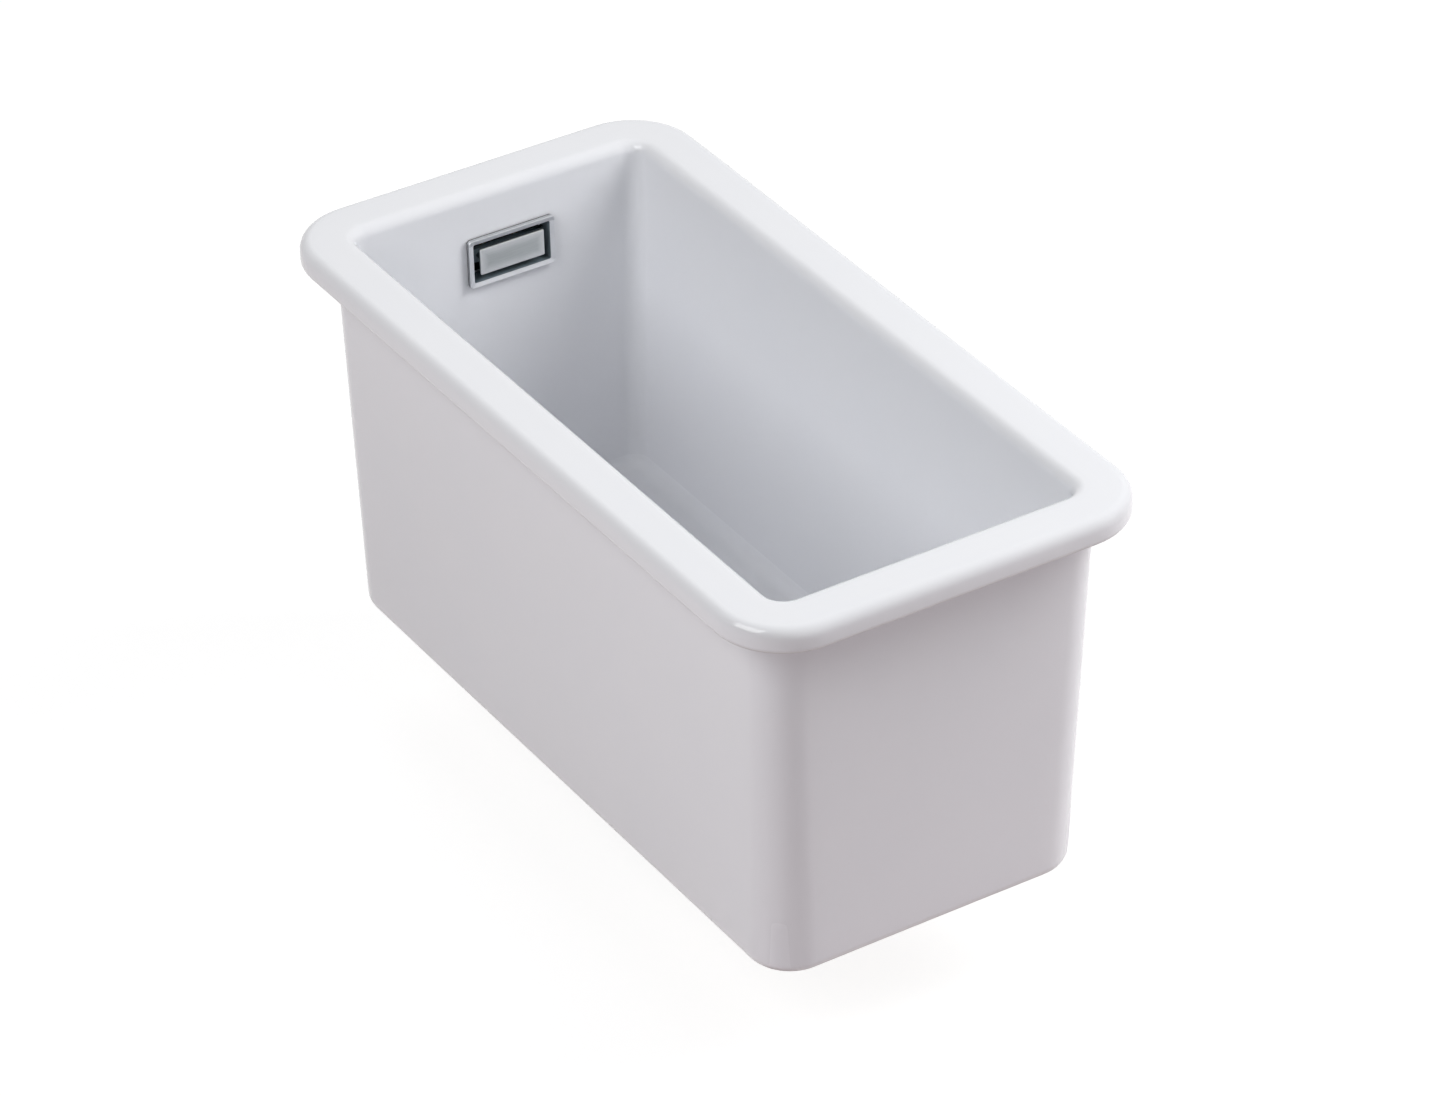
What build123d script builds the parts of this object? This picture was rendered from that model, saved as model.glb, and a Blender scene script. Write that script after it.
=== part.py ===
from build123d import *
import os
from math import atan2, cos, degrees, hypot, pi, radians, sin, sqrt, tan

# Undermount fireclay kitchen sink with its overflow kit, overflow hose and basket waste.
# Millimetres. The origin is the centre of the rim's top face, +Y points to the overflow wall, +Z is up.

# Bowl
rim_width = 265.0
rim_length = 525.0
rim_thickness = 17.0
rim_corner_radius = 43.5
rim_top_round = 7.0
rim_bottom_round = 5.0
rim_root_round = 6.0
rim_land = 33.5
lip_round = 7.5
sink_height = 255.0
bowl_wall = 13.2
wall_draft_deg = 1.4
wall_corner_radius = 24.0
base_corner_radius = 28.0
base_edge_round = 9.0
bowl_corner_radius = 11.0
floor_thickness = 30.0
floor_round = 10.0
floor_corner_extra = 1.0
floor_fall = 3.0
outlet_diameter = 90.0
recess_depth = 4.0
waste_seat_depth = 1.0
waste_seat_margin = 4.0

# Overflow kit
overflow_offset = 8.2
overflow_drop = 46.4
panel_width = 44.4
panel_height = 17.2
panel_thickness = 1.5
panel_corner_radius = 0.8
panel_edge_round = 0.5
panel_rise = 0.4
slot_width = 4.4
slot_corner_radius = 1.2
bezel_border = 3.2
bezel_thickness = 2.5
bezel_corner_radius = 2.2
bezel_round = 0.6
bezel_land = 0.7
bezel_dish = 0.8
collar_wall = 0.8
collar_length = 9.0
bridge_thickness = 3.0
bridge_edge = 0.7
stud_radius = 1.9
stud_inset = 4.2
front_seal_thickness = 1.0
rear_seal_thickness = 3.0
overflow_screw_radius = 2.0
overflow_screw_head_radius = 3.8
overflow_screw_tail = 6.0
overflow_screw_slot = 1.0
overflow_screw_inset = 7.0
overflow_insert_length = 10.0
insert_wall = 1.2
post_wall = 1.8
housing_wall = 2.4
housing_round = 6.0
housing_back_round = 4.0
housing_back_room = 5.0
housing_flange_lap = 6.4
housing_flange_thickness = 4.0
housing_flange_radius = 8.0
moulding_round = 0.8

# Hose and its compression joints
hose_setback = 30.5
hose_clearance = 3.0
hose_diameter = 20.0
hose_rib_height = 1.7
hose_rib_pitch = 5.0
rib_foot_share = 0.1
rib_shoulder_share = 0.35
hose_wall = 1.1
cuff_wall = 1.8
cuff_free_length = 3.0
spigot_length = 22.0
spigot_wall = 3.9
socket_depth = 14.0
cone_washer_length = 4.0
cone_washer_land = 1.5
nut_wall = 3.2
nut_grip = 1.2
nut_grip_count = 16
nut_cover = 11.0
nut_lip = 3.0

# Waste
throat_gap = 1.0
flange_width = 12.0
flange_seal_thickness = 1.5
steel_sheet = 1.2
sheet_edge_round = 0.5
cup_cone_width = 4.0
cup_cone_depth = 10.0
cup_depth = 33.0
cup_drain_count = 8
cup_drain_radius = 4.2
cup_drain_land = 3.8
gasket_thickness = 3.0
gasket_width = 10.0
body_flange_margin = 1.5
body_flange_thickness = 5.0
body_wall = 3.0
body_cup_gap = 1.8
inlet_drop = 30.0
body_floor_drop = 6.0
funnel_height = 11.0
outlet_thread_radius = 23.9
outlet_thread_length = 20.0
outlet_wall = 3.9
outlet_collar_height = 3.0
outlet_collar_width = 3.6
boss_wall = 3.0
boss_rib_thickness = 4.0
boss_rib_count = 3
waste_screw_radius = 4.0
waste_screw_head_radius = 7.5
waste_screw_head_height = 4.0
screw_head_round = 1.5
screw_slot_width = 1.6
screw_slot_depth = 2.0
waste_insert_length = 14.0
waste_insert_wall = 2.0
screw_washer_thickness = 1.2
screw_washer_margin = 2.0

# Basket
basket_side_gap = 3.5
basket_sheet = 1.0
basket_edge_round = 0.4
basket_height = 14.5
basket_hole_radius = 2.2
basket_hole_count = 24
basket_hole_rows = 2
plug_lip_height = 10.0
plug_lip_width = 5.0
plug_thickness = 2.8
stem_radius = 3.0
stem_tail = 2.4
stem_collar_width = 3.0
stem_collar_height = 2.0
clip_thickness = 1.2
clip_width = 4.0
knob_radius = 12.0
knob_height = 9.0
knob_rise = 6.0
knob_neck_wall = 2.5
knob_neck_height = 3.5
knob_roof = 3.0
knob_round = 3.0

# Clearances
fit_gap = 0.1
loose_gap = 0.5
seat_gap = 0.1
recess_gap = 1.5

# Bowl sizes that follow from these
draft = tan(radians(wall_draft_deg))
bowl_width = rim_width - 2 * rim_land
bowl_length = rim_length - 2 * rim_land
bowl_depth = sink_height - floor_thickness
rim_overhang = rim_land + rim_thickness * draft - bowl_wall
floor_corner_radius = floor_round + floor_corner_extra
outlet_radius = outlet_diameter / 2

# Waste sizes and heights, from the bowl's floor down
flange_throat_radius = outlet_radius - throat_gap
flange_radius = flange_throat_radius + flange_width
recess_radius = flange_radius + recess_gap
floor_z = -bowl_depth - floor_fall
recess_z = floor_z - recess_depth
flange_z = recess_z + flange_seal_thickness + steel_sheet
cup_radius = flange_throat_radius - cup_cone_width
cup_z = flange_z - cup_depth
screw_washer_radius = waste_screw_head_radius + screw_washer_margin
cup_drain_circle = screw_washer_radius + cup_drain_land + cup_drain_radius
seat_z = -sink_height + waste_seat_depth
body_top_z = seat_z - gasket_thickness
gasket_inner = outlet_radius + loose_gap
body_flange_radius = gasket_inner + gasket_width + body_flange_margin
body_bore_radius = cup_radius + steel_sheet + body_cup_gap
body_radius = body_bore_radius + body_wall
inlet_z = -sink_height - inlet_drop
funnel_top_z = inlet_z - body_floor_drop
funnel_z = funnel_top_z - funnel_height
outlet_top_z = funnel_z - outlet_collar_height
outlet_z = outlet_top_z - outlet_thread_length
waste_insert_radius = waste_screw_radius + waste_insert_wall
boss_radius = waste_insert_radius + boss_wall
boss_top_z = funnel_z + waste_insert_length + boss_wall

# Basket sizes and heights, from the cup's floor up
basket_radius = cup_radius - basket_side_gap
plug_bore_radius = cup_drain_circle + cup_drain_radius + loose_gap
plug_radius = plug_bore_radius + plug_lip_width
plug_z = cup_z + seat_gap
plug_under_z = plug_z + plug_lip_height
basket_z = plug_under_z + plug_thickness
basket_floor_z = basket_z + basket_sheet
basket_top_z = basket_z + basket_height
knob_z = basket_top_z + knob_rise
knob_socket_z = knob_z + knob_height - knob_roof

# Overflow sizes, from the panel outwards
slot_outer_width = panel_width + 2 * slot_width
slot_outer_height = panel_height + 2 * slot_width
bezel_width = slot_outer_width + 2 * bezel_border
bezel_height = slot_outer_height + 2 * bezel_border
collar_width = slot_outer_width + 2 * collar_wall
collar_height = slot_outer_height + 2 * collar_wall
wall_hole_width = collar_width + 2 * loose_gap
wall_hole_height = collar_height + 2 * loose_gap
stud_spacing = panel_width - 2 * stud_inset
overflow_screw_spacing = stud_spacing - 2 * overflow_screw_inset
overflow_screw_head = overflow_screw_head_radius - overflow_screw_radius
bridge_height = 2 * (overflow_screw_head_radius + bridge_edge)
housing_width = wall_hole_width + 2 * housing_wall
housing_height = wall_hole_height + 2 * housing_wall
housing_flange_width = housing_width + 2 * housing_flange_lap
housing_flange_height = housing_height + 2 * housing_flange_lap
insert_radius = overflow_screw_radius + insert_wall
post_radius = insert_radius + post_wall
cuff_radius = hose_diameter / 2 - hose_rib_height - hose_wall + cuff_wall
hose_bore_radius = cuff_radius - cuff_wall
spigot_radius = cuff_radius + fit_gap + spigot_wall


def inner_wall_y(z):
    """Where the overflow wall's inner face lies at a height."""
    return bowl_length / 2 + z * draft


def outer_wall_y(z):
    """Where the overflow wall's outer face lies at a height."""
    return inner_wall_y(z) + bowl_wall


# The overflow's own frame: x to the right, y up the drafted wall, z into the bowl
overflow_z = -overflow_drop
overflow_frame = Plane(
    origin=(overflow_offset, inner_wall_y(overflow_z), overflow_z),
    x_dir=(1, 0, 0),
    z_dir=(0, -1, draft),
)
wall_back = -bowl_wall * cos(radians(wall_draft_deg))
bezel_front = front_seal_thickness + bezel_thickness
slot_front = bezel_front - bezel_dish
bridge_back = -collar_length
bridge_front = bridge_back + bridge_thickness
overflow_screw_tip = wall_back - overflow_insert_length - overflow_screw_tail
housing_front = wall_back - rear_seal_thickness
housing_back = wall_back - hose_setback - spigot_radius - housing_back_room

# The hose lies in an upright plane through the waste's axis and the housing's spigot
spigot_y = outer_wall_y(overflow_z) + hose_setback
hose_reach = hypot(overflow_offset, spigot_y)
hose_angle = atan2(overflow_offset, spigot_y)
hose_out = Vector(sin(hose_angle), cos(hose_angle), 0)
hose_side = Vector(cos(hose_angle), -sin(hose_angle), 0)
upper_mouth_z = overflow_z - housing_height / 2 - spigot_length
upper_mouth = Plane(
    origin=(overflow_offset, spigot_y, upper_mouth_z),
    x_dir=hose_side,
    z_dir=(0, 0, -1),
)
lower_mouth_reach = body_radius + spigot_length
lower_mouth = Plane(
    origin=hose_out * lower_mouth_reach + Vector(0, 0, inlet_z),
    x_dir=hose_side,
    z_dir=hose_out,
)

# The largest bend that keeps the hose clear of the base's edge
past_base = hose_reach - outer_wall_y(-sink_height) / cos(hose_angle)
hose_room = hose_diameter / 2 + hose_clearance
bend_sum = past_base + inlet_drop - hose_room
hose_bend_radius = bend_sum + sqrt(bend_sum**2 - past_base**2 - inlet_drop**2 + hose_room**2)
hose_top_z = upper_mouth_z + socket_depth - loose_gap
hose_end_reach = lower_mouth_reach - socket_depth + loose_gap
hose_drop = hose_top_z - inlet_z - hose_bend_radius
hose_bend_length = hose_bend_radius * pi / 2
hose_run = hose_reach - hose_bend_radius - hose_end_reach
hose_length = hose_drop + hose_bend_length + hose_run
hose_cuff_length = socket_depth + cone_washer_length + nut_lip + cuff_free_length


def disc(radius, low, high):
    """Upright cylinder between two heights."""
    return Pos(0, 0, (low + high) / 2) * Cylinder(radius, high - low)


def ring(outer, inner, low, high):
    """Upright tube between two heights."""
    return disc(outer, low, high) - disc(inner, low, high)


def block(width, height, radius, low, high):
    """Rounded rectangular bar between two heights."""
    return extrude(Pos(0, 0, low) * RectangleRounded(width, height, radius), high - low)


def tapered(low_size, low_radius, low, high_size, high_radius, high):
    """Rounded rectangular bar whose outline changes evenly from one height to another."""
    foot = Pos(0, 0, low) * RectangleRounded(*low_size, low_radius)
    head = Pos(0, 0, high) * RectangleRounded(*high_size, high_radius)
    return loft([foot, head], ruled=True)


def turned(points, corner_round=0.0):
    """Solid turned about Z from its (radius, height) outline, with its corners rounded."""
    outline = make_face(Polyline(*points, close=True))
    if corner_round:
        off_axis = [corner for corner in outline.vertices() if corner.X > 0]
        outline = fillet(off_axis, corner_round)
    return revolve(Plane.XZ * outline, Axis.Z)


def edges_at(body, height, half_width, half_length):
    """Edges of a body at a height, with their middles inside a rectangle."""
    level = body.edges().filter_by_position(Axis.Z, height - fit_gap, height + fit_gap)
    return [e for e in level if abs(e.center().X) < half_width and abs(e.center().Y) < half_length]


def rim_slab():
    slab = block(rim_width, rim_length, rim_corner_radius, -rim_thickness, 0)
    slab = fillet(slab.edges().group_by(Axis.Z)[-1], rim_top_round)
    return fillet(slab.edges().group_by(Axis.Z)[0], rim_bottom_round)


def outer_wall():
    """Drafted outside of the bowl, from inside the rim down to the base."""
    top = -rim_thickness / 2
    top_growth = 2 * (bowl_wall + top * draft)
    base_growth = 2 * (bowl_wall - sink_height * draft)
    walls = tapered(
        (bowl_width + base_growth, bowl_length + base_growth),
        base_corner_radius,
        -sink_height,
        (bowl_width + top_growth, bowl_length + top_growth),
        wall_corner_radius,
        top,
    )
    return fillet(walls.edges().group_by(Axis.Z)[0], base_edge_round)


def basin():
    """The space inside the bowl, down through the waste outlet."""
    above = rim_thickness
    mouth_growth = 2 * above * draft
    floor_width = bowl_width - 2 * bowl_depth * draft
    floor_length = bowl_length - 2 * bowl_depth * draft
    space = tapered(
        (floor_width, floor_length),
        floor_corner_radius,
        -bowl_depth,
        (bowl_width + mouth_growth, bowl_length + mouth_growth),
        bowl_corner_radius,
        above,
    )
    space = fillet(space.edges().group_by(Axis.Z)[0], floor_round)
    land = 2 * (recess_radius + recess_gap)
    space += tapered(
        (land, land),
        recess_radius,
        floor_z,
        (floor_width - 2 * floor_round, floor_length - 2 * floor_round),
        floor_corner_extra,
        -bowl_depth,
    )
    space += disc(recess_radius, recess_z, -bowl_depth)
    return space + disc(outlet_radius, -sink_height, -bowl_depth)


def make_bowl():
    body = rim_slab() + outer_wall()
    rim_edge_x = rim_width / 2 - rim_overhang + fit_gap
    rim_edge_y = rim_length / 2 - rim_overhang + fit_gap
    body = fillet(edges_at(body, -rim_thickness, rim_edge_x, rim_edge_y), rim_root_round)
    body -= basin()
    body = fillet(edges_at(body, 0, bowl_width / 2 + fit_gap, bowl_length / 2 + fit_gap), lip_round)
    wall_hole = block(wall_hole_width, wall_hole_height, bezel_corner_radius, 2 * wall_back, -wall_back)
    body -= overflow_frame * wall_hole
    return body - disc(body_flange_radius + waste_seat_margin, -sink_height, seat_z)


def paired(spacing, solid):
    """Two copies of a solid, side by side about the overflow's centre."""
    return [Pos(side * spacing / 2, 0, 0) * solid for side in (-1, 1)]


def make_overflow_bezel():
    frame = block(bezel_width, bezel_height, bezel_corner_radius, front_seal_thickness, bezel_front)
    frame = fillet(frame.edges().group_by(Axis.Z)[-1], bezel_round)
    frame -= tapered(
        (slot_outer_width, slot_outer_height),
        slot_corner_radius,
        slot_front,
        (bezel_width - 2 * bezel_land, bezel_height - 2 * bezel_land),
        bezel_corner_radius - bezel_land,
        bezel_front,
    )
    collar_radius = slot_corner_radius + collar_wall
    frame += block(collar_width, collar_height, collar_radius, bridge_back, front_seal_thickness)
    frame -= block(slot_outer_width, slot_outer_height, slot_corner_radius, bridge_back, bezel_front)
    bridge_middle = (bridge_back + bridge_front) / 2
    bridge_length = slot_outer_width + collar_wall
    bridge = Pos(0, 0, bridge_middle) * Box(bridge_length, bridge_height, bridge_thickness)
    countersink = turned(
        [
            (0, bridge_back),
            (overflow_screw_radius + fit_gap, bridge_back),
            (overflow_screw_radius + fit_gap, bridge_front - overflow_screw_head),
            (overflow_screw_head_radius + fit_gap, bridge_front),
            (0, bridge_front),
        ]
    )
    stud_hole = disc(stud_radius + fit_gap, bridge_back, bridge_front)
    for hole in paired(overflow_screw_spacing, countersink) + paired(stud_spacing, stud_hole):
        bridge -= hole
    return overflow_frame * (frame + bridge)


def make_overflow_panel():
    front = slot_front + panel_rise
    plate = block(panel_width, panel_height, panel_corner_radius, front - panel_thickness, front)
    plate = fillet(plate.edges().group_by(Axis.Z)[-1], panel_edge_round)
    for stud in paired(stud_spacing, disc(stud_radius, bridge_back, front - panel_thickness)):
        plate += stud
    return overflow_frame * plate


def overflow_seal(width, height, radius, low, high):
    """Flat seal round the hole in the overflow wall."""
    outline = block(width - loose_gap, height - loose_gap, radius, low, high)
    hole = block(wall_hole_width, wall_hole_height, bezel_corner_radius, low, high)
    return overflow_frame * (outline - hole)


def make_overflow_front_seal():
    return overflow_seal(bezel_width, bezel_height, bezel_corner_radius, 0, front_seal_thickness)


def make_overflow_rear_seal():
    return overflow_seal(
        housing_flange_width, housing_flange_height, housing_flange_radius, housing_front, wall_back
    )


def make_overflow_screws():
    screw = turned(
        [
            (0, overflow_screw_tip),
            (overflow_screw_radius, overflow_screw_tip),
            (overflow_screw_radius, bridge_front - overflow_screw_head),
            (overflow_screw_head_radius, bridge_front),
            (0, bridge_front),
        ]
    )
    slot = Box(2 * overflow_screw_head_radius, overflow_screw_slot, overflow_screw_head)
    screw -= Pos(0, 0, bridge_front) * slot
    pair = paired(overflow_screw_spacing, screw)
    return Compound(children=[overflow_frame * screw for screw in pair])


def make_overflow_inserts():
    bore = overflow_screw_radius + fit_gap
    insert = ring(insert_radius, bore, wall_back - overflow_insert_length, wall_back)
    pair = paired(overflow_screw_spacing, insert)
    return Compound(children=[overflow_frame * insert for insert in pair])


def hose_spigot(root_length):
    """Spigot with its mouth at z = 0 and the hose leaving along +z, and the way through it."""
    stub = disc(spigot_radius, -root_length, 0)
    socket = disc(cuff_radius + fit_gap, -socket_depth, 0)
    return stub, socket + disc(hose_bore_radius, -root_length, 0)


def make_overflow_housing():
    box = block(housing_width, housing_height, housing_round, housing_back, housing_front)
    box = fillet(box.edges().group_by(Axis.Z)[0], housing_back_round)
    flange = block(
        housing_flange_width,
        housing_flange_height,
        housing_flange_radius,
        housing_front - housing_flange_thickness,
        housing_front,
    )
    box += fillet(flange.edges().group_by(Axis.Z)[0], moulding_round)
    room_back = housing_back + housing_wall
    room = block(wall_hole_width, wall_hole_height, bezel_corner_radius, room_back, housing_front)
    stub, way = hose_spigot(spigot_length + housing_height / 2)
    housing = overflow_frame * box + upper_mouth * stub
    housing -= overflow_frame * room
    housing -= upper_mouth * way
    post = disc(post_radius, housing_back + housing_wall / 2, wall_back)
    post -= disc(insert_radius + fit_gap, overflow_screw_tip - loose_gap, wall_back)
    for side in paired(overflow_screw_spacing, post):
        housing += overflow_frame * side
    return housing


def make_hose_washer(mouth):
    inner = cuff_radius + fit_gap
    washer = turned(
        [
            (inner, 0),
            (spigot_radius - loose_gap, 0),
            (inner + cone_washer_land, cone_washer_length),
            (inner, cone_washer_length),
        ]
    )
    return mouth * washer


def make_hose_nut(mouth):
    end = cone_washer_length + nut_lip
    bore = spigot_radius + fit_gap
    radius = bore + nut_wall
    nut = disc(radius, -nut_cover, end)
    nut = chamfer(nut.edges().filter_by(GeomType.CIRCLE), nut_grip)
    nut -= disc(bore, -nut_cover, cone_washer_length)
    nut -= disc(cuff_radius + loose_gap, cone_washer_length, end)
    groove = disc(nut_grip, -nut_cover, cone_washer_length)
    for place in PolarLocations(radius, nut_grip_count):
        nut -= place * groove
    return mouth * nut


def hose_plane(length):
    """Plane square to the hose's centre line, at a length from the hose's upper end."""
    turn = min(max((length - hose_drop) / hose_bend_radius, 0), pi / 2)
    past_bend = max(length - hose_drop - hose_bend_length, 0)
    reach = hose_reach - hose_bend_radius * (1 - cos(turn)) - past_bend
    height = hose_top_z - min(length, hose_drop) - hose_bend_radius * sin(turn)
    along = Vector(0, 0, -cos(turn)) - hose_out * sin(turn)
    return Plane(origin=hose_out * reach + Vector(0, 0, height), x_dir=hose_side, z_dir=along)


def hose_circles():
    """Place along the hose and radius of each circle of its outside, four to a rib."""
    ribbed = hose_length - 2 * hose_cuff_length
    rib_count = round(ribbed / hose_rib_pitch)
    crest = hose_diameter / 2
    valley = crest - hose_rib_height
    rib = [(rib_foot_share, valley), (rib_shoulder_share, crest)]
    rib += [(1 - share, radius) for share, radius in reversed(rib)]
    circles = [(0, cuff_radius), (hose_cuff_length, cuff_radius)]
    for index in range(rib_count):
        for share, radius in rib:
            circles.append((hose_cuff_length + (index + share) * ribbed / rib_count, radius))
    circles += [(hose_length - hose_cuff_length, cuff_radius), (hose_length, cuff_radius)]
    return circles


def make_overflow_hose():
    outside = loft([hose_plane(place) * Circle(radius) for place, radius in hose_circles()], ruled=True)
    bend_end = hose_drop + hose_bend_length
    corners = (0, hose_drop, hose_drop + hose_bend_length / 2, bend_end, hose_length)
    points = [hose_plane(place).origin for place in corners]
    upper_run = Line(points[0], points[1]).edge()
    bend = ThreePointArc(points[1], points[2], points[3]).edge()
    lower_run = Line(points[3], points[4]).edge()
    bore = sweep(hose_plane(0) * Circle(hose_bore_radius), Wire([upper_run, bend, lower_run]))
    return outside - bore


def make_waste_flange():
    cone_z = flange_z - cup_cone_depth
    slope = atan2(cup_cone_depth, cup_cone_width)
    throat_under = flange_throat_radius + steel_sheet * tan(slope / 2)
    cone_under_z = cone_z - steel_sheet * tan((pi / 2 - slope) / 2)
    hole = waste_screw_radius + fit_gap
    flange = turned(
        [
            (flange_radius, flange_z),
            (flange_throat_radius, flange_z),
            (cup_radius, cone_z),
            (cup_radius, cup_z),
            (hole, cup_z),
            (hole, cup_z - steel_sheet),
            (cup_radius + steel_sheet, cup_z - steel_sheet),
            (cup_radius + steel_sheet, cone_under_z),
            (throat_under, flange_z - steel_sheet),
            (flange_radius, flange_z - steel_sheet),
        ],
        sheet_edge_round,
    )
    drain = disc(cup_drain_radius, cup_z - steel_sheet, cup_z)
    for place in PolarLocations(cup_drain_circle, cup_drain_count):
        flange -= place * drain
    return flange


def make_waste_flange_seal():
    seal_inner = outlet_radius + recess_gap
    return ring(flange_radius - loose_gap, seal_inner, recess_z, recess_z + flange_seal_thickness)


def make_waste_gasket():
    return ring(gasket_inner + gasket_width, gasket_inner, body_top_z, seat_z)


def make_waste_body():
    outside = turned(
        [
            (0, body_top_z),
            (body_flange_radius, body_top_z),
            (body_flange_radius, body_top_z - body_flange_thickness),
            (body_radius, body_top_z - body_flange_thickness),
            (body_radius, funnel_top_z),
            (outlet_thread_radius + outlet_collar_width, funnel_z),
            (outlet_thread_radius + outlet_collar_width, outlet_top_z),
            (0, outlet_top_z),
        ],
        moulding_round,
    )
    outside += disc(outlet_thread_radius, outlet_z, outlet_top_z)
    room = turned(
        [
            (0, body_top_z),
            (body_bore_radius, body_top_z),
            (body_bore_radius, funnel_top_z),
            (outlet_thread_radius - outlet_wall, funnel_z),
            (outlet_thread_radius - outlet_wall, outlet_z),
            (0, outlet_z),
        ]
    )
    room -= disc(boss_radius, funnel_z, boss_top_z)
    rib_height = boss_top_z - funnel_z - boss_wall
    rib = Box(body_radius, boss_rib_thickness, rib_height)
    rib = Pos(body_radius / 2, 0, funnel_z + rib_height / 2) * rib
    inlet_angle = 90 - degrees(hose_angle)
    for index in range(boss_rib_count):
        room -= Rot(0, 0, inlet_angle + 360 / boss_rib_count * (index + 0.5)) * rib
    stub, way = hose_spigot(spigot_length + 2 * body_wall)
    body = outside + lower_mouth * stub
    body -= room
    body -= lower_mouth * way
    return body - disc(waste_insert_radius + fit_gap, boss_top_z - waste_insert_length, boss_top_z)


def make_waste_insert():
    bore = waste_screw_radius + fit_gap
    return ring(waste_insert_radius, bore, boss_top_z - waste_insert_length, boss_top_z)


def make_screw_washer():
    return ring(screw_washer_radius, waste_screw_radius + fit_gap, cup_z, cup_z + screw_washer_thickness)


def make_waste_screw():
    under_head = cup_z + screw_washer_thickness
    head_top = under_head + waste_screw_head_height
    head = disc(waste_screw_head_radius, under_head, head_top)
    head = fillet(head.edges().group_by(Axis.Z)[-1], screw_head_round)
    tip = boss_top_z - waste_insert_length + loose_gap
    slot = Box(2 * waste_screw_head_radius, screw_slot_width, 2 * screw_slot_depth)
    return head + disc(waste_screw_radius, tip, under_head) - Pos(0, 0, head_top) * slot


def make_basket():
    inside = basket_radius - basket_sheet
    lip_radius = cup_radius - loose_gap
    hole = stem_radius + fit_gap
    pan = turned(
        [
            (hole, basket_z),
            (basket_radius, basket_z),
            (basket_radius, basket_top_z - basket_sheet),
            (lip_radius, basket_top_z - basket_sheet),
            (lip_radius, basket_top_z),
            (inside, basket_top_z),
            (inside, basket_floor_z),
            (hole, basket_floor_z),
        ],
        basket_edge_round,
    )
    floor_hole = disc(basket_hole_radius, basket_z, basket_floor_z)
    for place in PolarLocations((plug_radius + inside) / 2, basket_hole_count):
        pan -= place * floor_hole
    wall_hole = Rot(0, 90, 0) * disc(basket_hole_radius, inside - basket_sheet, lip_radius)
    step = 360 / basket_hole_count
    clear_height = basket_top_z - basket_sheet - basket_floor_z
    for row in range(basket_hole_rows):
        height = basket_floor_z + clear_height * (row + 0.5) / basket_hole_rows
        for index in range(basket_hole_count):
            turn = step * (index + row / basket_hole_rows)
            pan -= Rot(0, 0, turn) * Pos(0, 0, height) * wall_hole
    return pan


def make_basket_seal():
    hole = stem_radius + fit_gap
    return turned(
        [
            (hole, plug_under_z),
            (plug_bore_radius, plug_under_z),
            (plug_bore_radius, plug_z),
            (plug_radius, plug_z),
            (plug_radius, basket_z),
            (hole, basket_z),
        ]
    )


def make_basket_stem():
    collar_top = basket_floor_z + stem_collar_height
    collar = disc(stem_radius + stem_collar_width, basket_floor_z, collar_top)
    return collar + disc(stem_radius, plug_under_z - stem_tail, knob_socket_z)


def make_basket_knob():
    neck_top = knob_z + knob_neck_height
    cap = disc(knob_radius, neck_top, knob_z + knob_height)
    cap = fillet(cap.edges().group_by(Axis.Z)[-1], knob_round)
    socket_radius = stem_radius + fit_gap
    knob = cap + disc(socket_radius + knob_neck_wall, knob_z, neck_top)
    return knob - disc(socket_radius, knob_z, knob_socket_z)


def make_basket_clip():
    inner = stem_radius + fit_gap
    return ring(inner + clip_width, inner, plug_under_z - clip_thickness, plug_under_z)


nodes = {
    "bowl": make_bowl(),
    "overflow_bezel": make_overflow_bezel(),
    "overflow_panel": make_overflow_panel(),
    "overflow_front_seal": make_overflow_front_seal(),
    "overflow_rear_seal": make_overflow_rear_seal(),
    "overflow_screws": make_overflow_screws(),
    "overflow_inserts": make_overflow_inserts(),
    "overflow_housing": make_overflow_housing(),
    "hose_upper_washer": make_hose_washer(upper_mouth),
    "hose_upper_nut": make_hose_nut(upper_mouth),
    "overflow_hose": make_overflow_hose(),
    "hose_lower_washer": make_hose_washer(lower_mouth),
    "hose_lower_nut": make_hose_nut(lower_mouth),
    "waste_flange": make_waste_flange(),
    "waste_flange_seal": make_waste_flange_seal(),
    "waste_gasket": make_waste_gasket(),
    "waste_body": make_waste_body(),
    "waste_insert": make_waste_insert(),
    "screw_washer": make_screw_washer(),
    "waste_screw": make_waste_screw(),
    "basket": make_basket(),
    "basket_seal": make_basket_seal(),
    "basket_stem": make_basket_stem(),
    "basket_knob": make_basket_knob(),
    "basket_clip": make_basket_clip(),
}

os.makedirs("parts", exist_ok=True)
for name, solid in nodes.items():
    solid.label = name
    export_step(solid, f"parts/{name}.step")

# The hose's volume against that of its sections along a straight line
circles = hose_circles()
sections_volume = -pi * hose_bore_radius**2 * hose_length
for (start, first), (end, second) in zip(circles, circles[1:]):
    sections_volume += pi * (end - start) * (first**2 + first * second + second**2) / 3
print(f"hose length {hose_length:.1f}, bend radius {hose_bend_radius:.1f}")
print(f"hose volume {nodes['overflow_hose'].volume:.0f}, from its sections {sections_volume:.0f}")
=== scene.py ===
from bisect import bisect
from math import atan2, cos, floor, pi, radians, sin, tan, tau

import bmesh
import bpy
from mathutils import Matrix, Vector, noise


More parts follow.
